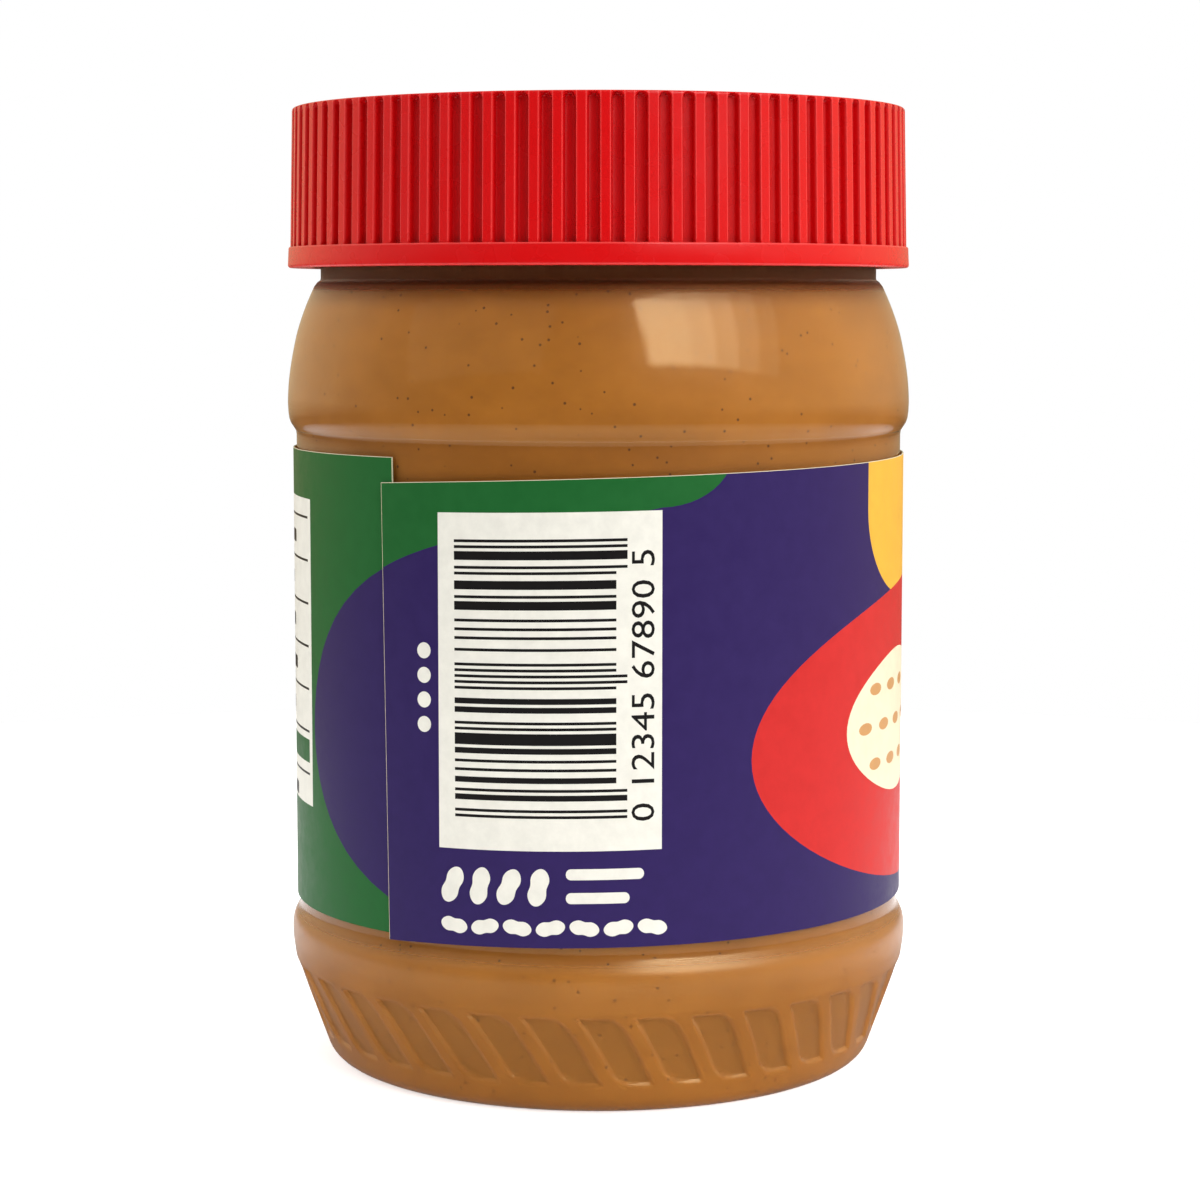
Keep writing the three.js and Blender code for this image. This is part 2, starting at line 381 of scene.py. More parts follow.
def pasteFinish():
    material, tree, shader = startMaterial("peanutPaste", IOR=1.45, Roughness=0.55,
                                           Subsurface_Weight=0.12, Subsurface_Scale=0.0015,
                                           Specular_IOR_Level=0.2)
    shader.inputs["Subsurface Radius"].default_value = (1.0, 0.55, 0.3)
    cloud = objectNoise(tree, 85, 4.0, 0.6, (1, 1, 1.6))
    base = mixedColour(tree, ranged(tree, cloud, 0.32, 0.68, 0, 1), pasteLook["dark"], pasteLook["light"])
    # painted shade: the sunk panels of the heel are painted a little darker
    sunkenShade = ranged(tree, storedValue(tree, "sunkenShade"), 0, 1, 0, pasteLook["sunkenShadeShare"])
    base = mixedColour(tree, sunkenShade, base, pasteLook["sunkenShade"])
    top = fillHigh.z
    # painted shade by height: darker along and behind the label and under the cap
    deep = rampedValue(tree, ranged(tree, objectHeight(tree), 0, top * mm, 0, 1),
                       [(z / top, share) for z, share in pasteLook["paintedShadeAt"]])
    base = mixedColour(tree, deep, base, pasteLook["deep"])
    grain = objectNoise(tree, 900, 2.0, 0.6)
    place = tree.nodes.new("ShaderNodeTexCoord")
    cells = tree.nodes.new("ShaderNodeTexVoronoi")
    cells.inputs["Scale"].default_value = 1 / (pasteLook["speckCell"] * mm)
    tree.links.new(place.outputs["Object"], cells.inputs["Vector"])
    near = ranged(tree, cells.outputs["Distance"], pasteLook["speckSize"], pasteLook["speckCore"], 0,
                  pasteLook["speckDepth"])
    drawn = tree.nodes.new("ShaderNodeSeparateColor")
    tree.links.new(cells.outputs["Color"], drawn.inputs[0])
    chosen = combined(tree, "LESS_THAN", drawn.outputs[0], pasteLook["speckShare"])
    speck = combined(tree, "MULTIPLY", near, chosen)
    colour = mixedColour(tree, speck, base, pasteLook["speck"])
    tree.links.new(colour, shader.inputs["Base Color"])
    tree.links.new(ranged(tree, grain, 0.3, 0.7, 0.5, 0.62), shader.inputs["Roughness"])
    addBump(tree, shader, cloud, 0.1, 0.3 * mm)
    return material


# moulded red plastic with a satin gloss, with a painted highlight along the edges of its ribs and flange and
# painted shade in its grooves
redLook = {"deep": (0.59, 0.003, 0.004), "bright": (0.62, 0.004, 0.005),
           # edge is the painted highlight's colour, groove the painted shade's colour
           "edge": (0.80, 0.075, 0.07), "paintedHighlightShare": 0.6, "groove": (0.53, 0.0015, 0.0035),
           "roughness": (0.24, 0.31)}


def redPlastic():
    material, tree, shader = startMaterial("redPlastic", Specular_IOR_Level=0.22)
    cloud = objectNoise(tree, 40, 3.0, 0.5)
    base = mixedColour(tree, ranged(tree, cloud, 0.3, 0.7, 0, 1), redLook["deep"], redLook["bright"])
    # painted highlight: the edges of the ribs and the flange are painted lighter, where they catch the light
    edge = ranged(tree, storedValue(tree, "edge"), 0, 1, 0, redLook["paintedHighlightShare"])
    base = mixedColour(tree, edge, base, redLook["edge"])
    # painted shade: the grooves are painted darker, the deeper the more
    tree.links.new(mixedColour(tree, storedValue(tree, "groove"), base, redLook["groove"]),
                   shader.inputs["Base Color"])
    grain = objectNoise(tree, 260, 2.0, 0.5)
    tree.links.new(ranged(tree, grain, 0.3, 0.7, *redLook["roughness"]), shader.inputs["Roughness"])
    addBump(tree, shader, grain, 0.012, 0.04 * mm)
    return material


# coated paper, one finish for each ink
inks = {
    "green": (0.0115, 0.112, 0.023),
    "blue": (0.0265, 0.0135, 0.092),
    "white": (0.775, 0.755, 0.675),
    "black": (0.008, 0.007, 0.007),
    "red": (0.53, 0.021, 0.019),
    "yellow": (0.72, 0.385, 0.040),
    "cream": (0.76, 0.66, 0.47),
    "tan": (0.52, 0.27, 0.10),
}
paperLook = {"edge": (0.50, 0.50, 0.32), "fade": 0.92, "roughness": (0.33, 0.45)}


def inkedPaper(name, colour):
    material, tree, shader = startMaterial("print_" + name, Specular_IOR_Level=0.12)
    fibre = objectNoise(tree, 500, 4.0, 0.65)
    faded = tuple(c * paperLook["fade"] for c in colour)
    tree.links.new(mixedColour(tree, ranged(tree, fibre, 0.35, 0.65, 0, 1), faded, colour),
                   shader.inputs["Base Color"])
    tree.links.new(ranged(tree, fibre, 0.3, 0.7, *paperLook["roughness"]), shader.inputs["Roughness"])
    addBump(tree, shader, fibre, 0.05, 0.03 * mm)
    return material


def paperEdge():
    material, tree, shader = startMaterial("paperEdge", Roughness=0.8)
    fibre = objectNoise(tree, 2500, 3.0, 0.6)
    dull = tuple(c * paperLook["fade"] for c in paperLook["edge"])
    tree.links.new(mixedColour(tree, fibre, dull, paperLook["edge"]), shader.inputs["Base Color"])
    addBump(tree, shader, fibre, 0.1, 0.03 * mm)
    return material


# jar: bulging shoulder, straight panel, lower bulge and a leaning heel with slanted ribs; sizes in mm

jar = {
    "ringInner": 27.0, "pushUp": 4.2, "gateRadius": 2.2, "gateFlat": 0.8, "gateDrop": 0.3,
    "baseRadii": (0, 1.2, 2.2, 3.2, 8, 13, 18, 22.5, 25.6, 26.7),
    "ringEdge": ((0.4, 0.03), (1.0, 0.0)),  # (how far past the ring's inner edge, height)
    "heelArc": 3.0, "heelCorner": 34.14, "heelLean": 19.88,
    # heights of the heel's rows, which stand close together at both ends of the sunk panels
    "heelLow": (2.6, 3.1), "heelMiddle": (6.6, 7.8, 9.0, 10.2, 11.2), "closeRows": 10,
    "lowStep": 0.2, "highStep": 0.1, "bandTop": 13.1,
    # (how far inside the widest radius, height)
    "bulge": [(0.29, 13.45), (0.22, 14.0), (0.11, 14.75), (0.02, 15.7), (0.0, 16.8), (0.10, 17.7),
              (0.30, 18.35), (0.62, 18.95), (0.90, 19.4), (1.03, 19.9), (1.05, 20.6)],
    "bulgeStep": 0.45, "panelTop": 78.4, "panelRows": 7, "shoulderStep": 0.9,
    "shoulder": [(1.05, 79.25), (0.98, 79.75), (0.66, 80.25), (0.34, 80.75), (0.16, 81.3), (0.05, 82.1),
                 (0.0, 83.2), (0.05, 84.6), (0.18, 86.2), (0.46, 88.2), (0.80, 90.0), (1.22, 91.9),
                 (1.78, 93.7), (2.45, 95.5), (3.10, 97.0), (3.45, 97.75), (3.85, 98.25), (4.2, 98.5)],
    "neckInset": 4.25, "mouthEdge": 0.4, "mouthBevel": 0.12,
    "neckHeights": (98.8, 99.5, 100.3, 101.0, 101.8, 105, 108), "innerNeckTop": 110,
    "wall": 0.6, "neckWall": 1.4, "neckWallFrom": 100.3, "neckWallFull": 101.8,
    "wedges": 36, "ribTurnPerMm": 0.81, "ribAngle": -2.8, "ribAngleHeight": 10.0,
    "panelLow": 3.55, "panelHigh": 12.75, "ribWidth": 1.3, "sink": 0.45,
    # the slope at a panel's edge is steeper near its top, from and to these distances below it
    "sideRamp": 0.7, "topRamp": 0.35, "topRampFrom": 1.6, "topRampTo": 0.3,
    "wideCorner": 2.0, "tightCorner": 0.5,
}


def jarOuterLine():
    lean = math.radians(jar["heelLean"])
    arcCentre = jar["heelCorner"] - jar["heelArc"] * (1 - math.sin(lean)) / math.cos(lean)
    sphere = (jar["ringInner"] ** 2 + jar["pushUp"] ** 2) / (2 * jar["pushUp"])
    line = []
    for r in jar["baseRadii"]:
        height = jar["pushUp"] - sphere + math.sqrt(sphere ** 2 - r ** 2)
        gate = jar["gateDrop"] * (1 - easeStep(jar["gateFlat"], jar["gateRadius"], r))
        line.append((r, height - gate))
    line += [(jar["ringInner"] + out, z) for out, z in jar["ringEdge"]]
    line += arcLine((arcCentre, jar["heelArc"]), jar["heelArc"], -90, -jar["heelLean"], 7)
    low, high, count = jar["panelLow"], jar["panelHigh"], jar["closeRows"]
    heights = [*jar["heelLow"]] + [low + jar["lowStep"] * i for i in range(count + 1)]
    heights += [*jar["heelMiddle"]] + [high - jar["highStep"] * i for i in range(count)][::-1]
    line += [(heelRadius(z), z) for z in (*heights, jar["bandTop"])]
    line += smoothLine([(jarWidest - inset, z) for inset, z in jar["bulge"]], jar["bulgeStep"])
    panelInset, panelFoot = jar["bulge"][-1]
    line += [(jarWidest - panelInset, blendTo(panelFoot, jar["panelTop"], (i + 1) / jar["panelRows"]))
             for i in range(jar["panelRows"])]
    line += smoothLine([(jarWidest - inset, z) for inset, z in jar["shoulder"]], jar["shoulderStep"])
    neck = jarWidest - jar["neckInset"]
    mouth = jarHigh.z
    line += [(neck, z) for z in (*jar["neckHeights"], mouth - jar["mouthEdge"])]
    line += [(neck - jar["mouthBevel"], mouth - jar["mouthBevel"]), (neck - jar["mouthEdge"], mouth)]
    return line


def heelRadius(z):
    return jar["heelCorner"] + math.tan(math.radians(jar["heelLean"])) * z


# how far a heel panel is sunk, for a place across a wedge (-0.5 to 0.5, the rib at 0) and a height;
# soften widens the slope at its edge
def heelSink(across, z, soften):
    pitch = 2 * math.pi * heelRadius(z) / jar["wedges"]
    halfHeight = (jar["panelHigh"] - jar["panelLow"]) / 2
    middle = (jar["panelHigh"] + jar["panelLow"]) / 2
    corner = jar["wideCorner"] if (z > middle) == (across < 0) else jar["tightCorner"]
    x = (0.5 - abs(across)) * pitch - ((pitch - jar["ribWidth"]) / 2 - corner)
    y = abs(z - middle) - (halfHeight - corner)
    distance = min(max(x, y), 0.0) + math.hypot(max(x, 0.0), max(y, 0.0)) - corner
    nearTop = easeStep(jar["panelHigh"] - jar["topRampFrom"], jar["panelHigh"] - jar["topRampTo"], z)
    ramp = blendTo(jar["sideRamp"], jar["topRamp"], nearTop)
    return jar["sink"] * easeStep(0.0, ramp + soften, -distance)


def heelTurn(z):
    inside = min(max(z, jar["panelLow"]), jar["panelHigh"])
    return jar["ribAngle"] + jar["ribTurnPerMm"] * (jar["ribAngleHeight"] - inside)


ribColumns = [0.0, 0.06, 0.10, 0.13, 0.16, 0.19, 0.23, 0.36, 0.5]  # shares of a wedge, from the rib's middle


def heelWedge(line, soften):
    columns = [-c for c in ribColumns[:0:-1]] + ribColumns
    pitch = 360 / jar["wedges"]
    rows, sinks = [], []
    for r, z in line:
        inHeel = jar["panelLow"] < z < jar["panelHigh"] and r > jar["ringInner"]
        sunk = [heelSink(c, z, soften) if inHeel else 0.0 for c in columns]
        rows.append([onRound(heelTurn(z) + c * pitch, r - s, z) for c, s in zip(columns, sunk)])
        sinks += [s / jar["sink"] for s in sunk]
    return rows, sinks


# the wall's thickness by height
def wallAt(z):
    return blendTo(jar["wall"], jar["neckWall"], easeStep(jar["neckWallFrom"], jar["neckWallFull"], z))


def makeJar(finish):
    outer = jarOuterLine()
    inner = [p for i, p in enumerate(insetLine(outer, wallAt)) if i % 2 == 0 and p[1] < jarHigh.z - 0.5]
    neckInside = jarWidest - jar["neckInset"] - jar["neckWall"]
    edge, bevel = jar["mouthEdge"], jar["mouthBevel"]
    mouth = [(neckInside + edge, jarHigh.z), (neckInside + bevel, jarHigh.z - bevel),
             (neckInside, jarHigh.z - edge)]
    line = outer + mouth + [(neckInside, jar["innerNeckTop"])] + inner[::-1]
    rows, _ = heelWedge(line, 0.0)
    return roundPiece("clearJar", rows, jar["wedges"], finish)


# contents: they reach just into the jar's wall, so that no air shows between the two
contents = {"intoWall": 0.12, "topEdge": 1.2, "crown": 0.6, "soften": 0.15}


def makeContents(finish):
    top = fillHigh.z - contents["crown"]
    line = insetLine(jarOuterLine(), lambda z: wallAt(z) - contents["intoWall"])
    line = [p for p in line if p[1] < top - contents["topEdge"] or p[0] < jar["ringInner"]]
    edge = line[-1][0]
    line += arcLine((edge - contents["topEdge"], top - contents["topEdge"]), contents["topEdge"], 0, 90, 4)
    line += [(edge * share, blendTo(top, fillHigh.z, 1 - share ** 2)) for share in (0.8, 0.5, 0.25, 0)]
    rows, sinks = heelWedge(line, contents["soften"])
    # how far each point is sunk, which paints shade into the heel's sunk panels
    return roundPiece("peanutPaste", rows, jar["wedges"], finish, {"sunkenShade": sinks})


# cap: ribbed skirt over a plain flange, with a flat top

cap = {
    "ribs": 88, "ribAngle": 1.25,
    "flangeHeight": 2.6, "flangeEdge": 0.35, "flangeLean": 0.1, "flangeTopEdge": 0.22,
    "ribInset": 0.34, "taper": 0.021, "skirtHeights": (107, 112, 116.5),
    "grooveWidth": 1.66, "grooveDepth": 0.95, "grooveWall": 0.24, "grooveTop": 119.62, "grooveHollow": 0.12,
    # columns of points: over a groove's floor, shares of its wall, and past its edge
    "floorColumn": 0.25, "floorEdge": 0.04, "wallColumns": (0.85, 0.65, 0.45, 0.25, 0.08),
    "crestColumns": (0.03, 0.11, 0.25),
    "footRows": (0.0, 0.04, 0.5), "archRows": (0, 0.2, 0.4, 0.55, 0.7, 0.82, 0.92),
    "topEdge": 0.28, "bore": 36.2, "roof": 1.6, "roofEdge": ((0.6, 0.0), (0.18, 0.18), (0.0, 0.6)),
    "recess": 0.35, "recessRadius": 33.4, "recessWall": 0.7,
    "recessRows": (0.0, 0.15, 0.35, 0.65, 0.85, 1.0), "flatRadii": (32.2, 20, 8),
    "gateRadius": 1.6, "gateDepth": 0.25, "gateRows": (1.0, 0.85, 0.65, 0.5, 0.0),
    # painted highlight: a lighter colour at both edges of the flange, and along the ribs' edges, where they
    # catch the light
    "glow": {"low": 0.12, "high": 0.06, "flange": (0.04, 0.16), "rib": (0.035, 0.1), "ribFoot": 0.3},
}


# how deep the groove is at a place across a wedge (-0.5 to 0.5, the groove at both ends) and a height
def grooveSink(across, z):
    pitch = 2 * math.pi * capWidest / cap["ribs"]
    half = cap["grooveWidth"] / 2
    x = (0.5 - abs(across)) * pitch
    above = max(z - (cap["grooveTop"] - half), 0.0)
    distance = half - math.hypot(x, above)
    hollow = 1 - cap["grooveHollow"] * min(x / half, 1.0) ** 2
    return cap["grooveDepth"] * easeStep(0.0, cap["grooveWall"], distance) * hollow


def capColumns():
    pitch = 2 * math.pi * capWidest / cap["ribs"]
    half = cap["grooveWidth"] / 2
    fromGroove = [0.0, cap["floorColumn"], half - cap["grooveWall"] - cap["floorEdge"]]
    fromGroove += [half - cap["grooveWall"] * share for share in cap["wallColumns"]]
    fromGroove += [half + out for out in cap["crestColumns"]]
    side = [0.5 - x / pitch for x in fromGroove]
    return [-c for c in side] + side[::-1]


# the painted highlight's share: 1 along a rib's two edges and the flange's two edges, 0 elsewhere
def paintedEdgeHighlight(across, z):
    pitch = 2 * math.pi * capWidest / cap["ribs"]
    flangeTop = capLow.z + cap["flangeHeight"]
    glow = cap["glow"]
    if z < flangeTop + 0.02:
        low, high = abs(z - capLow.z - glow["low"]), abs(z - flangeTop + glow["high"])
        return 1 - easeStep(*glow["flange"], min(low, high))
    fromEdge = (0.5 - abs(across)) * pitch - cap["grooveWidth"] / 2
    return (1 - easeStep(*glow["rib"], abs(fromEdge))) * easeStep(flangeTop, flangeTop + glow["ribFoot"], z)


def makeCap(finish):
    bottom, top = capLow.z, capHigh.z
    flangeTop = bottom + cap["flangeHeight"]
    columns = capColumns()
    pitch = 360 / cap["ribs"]
    skirt = capWidest - cap["ribInset"]
    edge = cap["flangeEdge"]

    def ribbedRow(r, z):
        return [onRound(cap["ribAngle"] + c * pitch, r - grooveSink(c, z), z) for c in columns]

    def plainRow(r, z, wide=True):
        return [onRound(cap["ribAngle"] + c * pitch, r, z) for c in (columns if wide else (-0.5, 0.5))]

    rows = [plainRow(cap["bore"], bottom), plainRow(capWidest - edge, bottom)]
    rows += [plainRow(r, z) for r, z in arcLine((capWidest - edge, bottom + edge), edge, -90, 0, 5)[1:]]
    lean = capWidest - cap["flangeLean"]
    rows += [plainRow(blendTo(capWidest, lean, 0.5), (bottom + flangeTop) / 2)]
    upper = cap["flangeTopEdge"]
    rows += [plainRow(r, z) for r, z in arcLine((lean - upper, flangeTop - upper), upper, 0, 80, 4)]
    archFoot = cap["grooveTop"] - cap["grooveWidth"] / 2
    corner = cap["topEdge"]
    footHeights = [flangeTop + up for up in cap["footRows"]]
    archHeights = [blendTo(archFoot, top - corner, share) for share in cap["archRows"]]
    for z in (*footHeights, *cap["skirtHeights"], *archHeights):
        rows.append(ribbedRow(skirt - cap["taper"] * (z - flangeTop), z))
    crest = skirt - cap["taper"] * (top - flangeTop)
    rows += [ribbedRow(r, z) for r, z in arcLine((crest - corner, top - corner), corner, 0, 90, 7)]
    inner = cap["recessRadius"]
    rows.append(plainRow(inner + 0.2, top, False))
    for share in cap["recessRows"]:
        height = top - cap["recess"] * easeStep(0, 1, share)
        rows.append(plainRow(inner - cap["recessWall"] * share, height, False))
    floor = top - cap["recess"]
    rows += [plainRow(r, floor, False) for r in (*cap["flatRadii"], cap["gateRadius"] + 0.2)]
    rows += [plainRow(cap["gateRadius"] * s, floor - cap["gateDepth"] * easeStep(1, 0.5, s), False)
             for s in cap["gateRows"]]
    under = top - cap["roof"]
    bore = cap["bore"]
    roofEdge = [(bore - inwards, under - down) for inwards, down in cap["roofEdge"]]
    rows += [plainRow(r, z, False) for r, z in ((0.0, under), (20, under), *roofEdge, (bore, bottom + 2))]
    rows.append(plainRow(bore, bottom))
    # each point's share of the painted highlight along the edges and of the painted shade in the grooves
    glow, grooveShadeMask = [], []
    for row in rows:
        z = row[0].z / mm
        wide = len(row) == len(columns)
        outside = wide and row[0].xy.length / mm > bore + 0.5
        for c in (columns if wide else (-0.5, 0.5)):
            glow.append(paintedEdgeHighlight(c, z) if outside else 0.0)
            grooveShadeMask.append(grooveSink(c, z) / cap["grooveDepth"] if outside and z > flangeTop else 0.0)
    return roundPiece("ribbedCap", rows, cap["ribs"], finish, {"edge": glow, "groove": grooveShadeMask}, sharpAngle=42)


# label: a paper strip wound once round the panel, a little askew

label = {
    "radius": 38.44, "thickness": 0.17, "start": -41.1, "end": 321.2, "endLean": 1.3, "leanFade": 12.0,
    "top": {"start": 74.7, "rise": 3.1, "over": 100.0},
    "bottom": {"start": 20.2, "rise": 1.5, "over": 45.0, "dip": 0.7, "dipFrom": 120.0, "dipTo": 320.0},
    "bareEdge": 0.06, "bareStart": 0.05, "bareEnd": 0.05,
    # the strip's outer end stands proud by the lift, which fades out between these two angles from it
    "lift": 0.25, "liftFull": 2.6, "liftEnd": 9.0, "columnStep": 2.5,
    "printRise": 2.0, "printOver": 110.0, "printBackFrom": 170.0, "printBackTo": 335.0,
}
mmPerDegree = math.radians(1) * (label["radius"] + label["thickness"])


def labelTopAt(angle):
    t = angle - label["start"]
    return label["top"]["start"] + label["top"]["rise"] * (1 - math.exp(-t / label["top"]["over"]))


def labelBottomAt(angle):
    t = angle - label["start"]
    low = label["bottom"]
    return low["start"] + low["rise"] * (1 - math.exp(-t / low["over"])) - low["dip"] * easeStep(
        low["dipFrom"], low["dipTo"], t)


def printRise(angle):
    t = angle - label["start"]
    back = easeStep(label["printBackFrom"], label["printBackTo"], t)
    return label["printRise"] * (1 - math.exp(-max(t, 0) / label["printOver"])) * (1 - back)


# flat shapes of the print, as closed loops of (degrees, mm)

def roundedBox(left, right, low, high, corner=0.0, steps=5):
    rx, rz = corner / mmPerDegree, corner
    if corner == 0:
        return [(left, low), (right, low), (right, high), (left, high)]
    loop = []
    for cx, cz, start in ((right - rx, low + rz, -90), (right - rx, high - rz, 0),
                          (left + rx, high - rz, 90), (left + rx, low + rz, 180)):
        for i in range(steps + 1):
            a = math.radians(start + 90 * i / steps)
            loop.append((cx + rx * math.cos(a), cz + rz * math.sin(a)))
    return loop


def oval(middle, height, halfWidth, halfHeight, steps=72):
    turns = [2 * math.pi * i / steps for i in range(steps)]
    wide = halfWidth / mmPerDegree
    return [(middle + wide * math.cos(a), height + halfHeight * math.sin(a)) for a in turns]


# a nut's shell seen from the side: two lobes with a soft waist
def nutShell(middle, height, halfLong, halfWide, waist, tilt=0.0, steps=80):
    loop = []
    for i in range(steps):
        a = 2 * math.pi * i / steps
        narrow = 1 - waist * math.exp(-(math.cos(a) / 0.34) ** 2)
        along = Vector((halfLong * math.cos(a), halfWide * math.sin(a) * narrow))
        along.rotate(Matrix.Rotation(math.radians(tilt), 2))
        loop.append((middle + along.x / mmPerDegree, height + along.y))
    return loop


# outlines of digits, written up the jar, from Blender's own font
def digitLoops(text, left, low, high, digitHeight):
    curve = bpy.data.curves.new("digits", "FONT")
    curve.body = text
    curve.resolution_u = 3
    curve.fill_mode = "FRONT"
    writing = bpy.data.objects.new("digits", curve)
    bpy.context.scene.collection.objects.link(writing)
    mesh = bpy.data.meshes.new_from_object(writing.evaluated_get(bpy.context.evaluated_depsgraph_get()))
    bpy.data.objects.remove(writing)
    bpy.data.curves.remove(curve)
    bm = bmesh.new()
    bm.from_mesh(mesh)
    bpy.data.meshes.remove(mesh)
    bmesh.ops.remove_doubles(bm, verts=bm.verts[:], dist=1e-5)
    border = [e for e in bm.edges if len(e.link_faces) == 1]
    loops = []
    while border:
        first, at = border.pop().verts
        loop = [first, at]
        while at != first:
            edge = next(e for e in at.link_edges if e in border)
            border.remove(edge)
            at = edge.other_vert(at)
            loop.append(at)
        loops.append([(v.co.x, v.co.y) for v in loop[:-1]])
    bm.free()
    xs = [x for loop in loops for x, y in loop]
    ys = [y for loop in loops for x, y in loop]
    wide = (high - low) / (max(xs) - min(xs))
    tall = digitHeight / (max(ys) - min(ys))
    return [[(left + (max(ys) - y) * tall / mmPerDegree, low + (x - min(xs)) * wide) for x, y in loop]
            for loop in loops]


# bars of a plain made-up number, as shares of the code's length
codeDigits = "012345678905"
digitBars = ["0001101", "0011001", "0010011", "0111101", "0100011",
             "0110001", "0101111", "0111011", "0110111", "0001011"]


def codeBars():
    half = len(codeDigits) // 2
    left = "".join(digitBars[int(d)] for d in codeDigits[:half])
    right = "".join(digitBars[int(d)].translate(str.maketrans("01", "10")) for d in codeDigits[half:])
    code = "101" + left + "01010" + right + "101"
    bars = []
    i = 0
    while i < len(code):
        run = 1
        while i + run < len(code) and code[i + run] == code[i]:
            run += 1
        if code[i] == "1":
            outer = i < 10 or i + run > len(code) - 10
            centre = abs(i + run / 2 - len(code) / 2) < 3
            bars.append((i / len(code), (i + run) / len(code), outer or centre))
        i += run
    return bars


# the print's places: lefts, rights, middles and pitches along the strip in degrees, the rest in mm
barPanel = {"left": -28.9, "right": 11.0, "low": 31.9, "high": 71.3, "barLeft": -25.7, "barRight": 3.1,
            "longRight": 5.0, "barLow": 35.7, "barHigh": 68.2, "digitLeft": 5.7, "digitHeight": 2.7,
            "digitLow": 35.3, "digitHigh": 66.8}
frontDesign = {
    "middle": 90.0, "blueTop": 71.6, "riseFrom": 11.0, "riseTo": 24.0, "rise": 6.5,
    "blueEnd": {"middle": -10.4, "height": 44.0, "halfWidth": 36.4, "above": 25.0, "below": 22.5},
    "ovalHeight": 41.5, "ovalHalf": (42.0, 19.0),
    "tabHalf": 32.6, "tabLow": 58.8, "tabHigh": 95, "tabCorner": 11.0,
    "shellHeight": 43.0, "shellHalf": (26.5, 10.4), "shellWaist": 0.27,
    "dimpleHalf": (1.7, 0.75), "dimplePitch": 8.2, "dimpleRows": 4.6, "dimpleSides": (8.0, 29.0),
}
# beside and under the bar panel
smallPrint = {
    "dotAngle": -31.9, "dotLow": 46.4, "dotPitch": 2.9, "dotRadius": 0.95, "dots": 4,
    "barLeft": -5.6, "barRows": ((28.5, 13.5), (25.7, 11.0)), "barThick": 1.3, "barCorner": 0.6,
    "nutWaist": 0.25,
    "standing": {"count": 4, "left": -26.3, "pitch": 5.3, "height": 27.6, "half": (2.25, 1.3),
                 "tilts": (66, 78), "steps": 40},
    "lying": {"count": 7, "left": -26.0, "pitch": 5.9, "height": 22.8, "half": (1.75, 1.0),
              "tilts": (-10, 10), "steps": 36},
}
tablePanel = {
    "left": 245.0, "right": 294.2, "low": 33.8, "high": 71.8, "ruleInset": 1.6, "ruleHalf": 0.15,
    "firstRule": 2.3, "lastRule": 1.5, "rowPitch": 5.3, "dashLeft": 2.4, "dashDrop": (3.5, 1.9),
    "dashGap": 1.2, "dashCorner": 0.3, "dashes": ((7.5, 5.0, 9.0), (6.0, 8.5, 4.0), (10.0, 4.5, 5.5)),
    "bandRow": 5, "bandDrop": (3.9, 1.0),
}
backPrint = {
    "ringAngle": 170.0, "ringHeight": 58.0, "ringRadii": (8.5, 7.2), "discRadius": 5.4,
    "captionLeft": 150.0, "captionTop": 43.5, "captionPitch": 2.6, "captionThick": 1.1,
    "captionWidths": (38.4, 40.0, 36.0, 40.0, 24.8),
    "linesLeft": 200.0, "linesTop": 66.0, "linesPitch": 3.0, "linesThick": 1.2, "lines": 9,
    "lineWidths": (20, 34, 34, 34), "lineCorner": 0.4,
    "frame": ((200.0, 231.0, 26.5, 36.0, 1.2, 4), (201.2, 229.8, 27.3, 35.2, 0.8, 4)),
}


# dashes that stand for words, from a list of widths in mm
def dashes(left, low, high, widths, gap, corner):
    loops = []
    for width in widths:
        loops.append(roundedBox(left, left + width / mmPerDegree, low, high, corner, 3))
        left += (width + gap) / mmPerDegree
    return loops


# the blue field's round end, from one angle to another, 90 being up
def blueEnd(start, stop, shift=0.0):
    e = frontDesign["blueEnd"]
    loop = []
    for i in range(33):
        a = math.radians(blendTo(start, stop, i / 32))
        tall = e["above"] if math.sin(a) > 0 else e["below"]
        loop.append((e["middle"] + shift + e["halfWidth"] / mmPerDegree * math.cos(a),
                     e["height"] + tall * math.sin(a)))
    return loop


# the blue field of the front steps up at each side of the middle; it runs off the strip's outer end
def blueField():
    d = frontDesign
    e = d["blueEnd"]
    cut = label["start"] - 2.0
    atCut = math.degrees(math.acos((cut - e["middle"]) * mmPerDegree / e["halfWidth"]))
    step = []
    for i in range(13):
        turn = math.radians(90 * i / 12)
        step.append((blendTo(d["riseFrom"], d["riseTo"], math.sin(turn)),
                     d["blueTop"] + d["rise"] * (1 - math.cos(turn))))
    left = [(cut, 10.0)] + blueEnd(atCut, 90) + step
    right = [(2 * d["middle"] - x, z) for x, z in [(0.0, 10.0)] + blueEnd(240, 90) + step]
    return left + right[::-1]


# the label's front, which faces +X: a red oval with a dimpled nut shell, under a yellow tab, on blue
def frontShapes():
    d = frontDesign
    middle, half = d["middle"], d["tabHalf"]
    tab = roundedBox(middle - half, middle + half, d["tabLow"], d["tabHigh"], d["tabCorner"], 14)
    shapes = [
        ("blue", [blueField()]), ("blue", [blueEnd(90, 270, 360.0)]), ("yellow", [tab]),
        ("red", [oval(middle, d["ovalHeight"], *d["ovalHalf"], 96)]),
        ("cream", [nutShell(middle, d["shellHeight"], *d["shellHalf"], d["shellWaist"])]),
    ]
    nearest, furthest = d["dimpleSides"]
    for row in range(-1, 2):
        for i in range(-4, 5):
            aside = (i + (0.5 if row else 0)) * d["dimplePitch"]
            if row and not nearest < abs(aside) < furthest:
                continue
            height = d["shellHeight"] + row * d["dimpleRows"]
            shapes.append(("tan", [oval(middle + aside, height, *d["dimpleHalf"], 16)]))
    return shapes


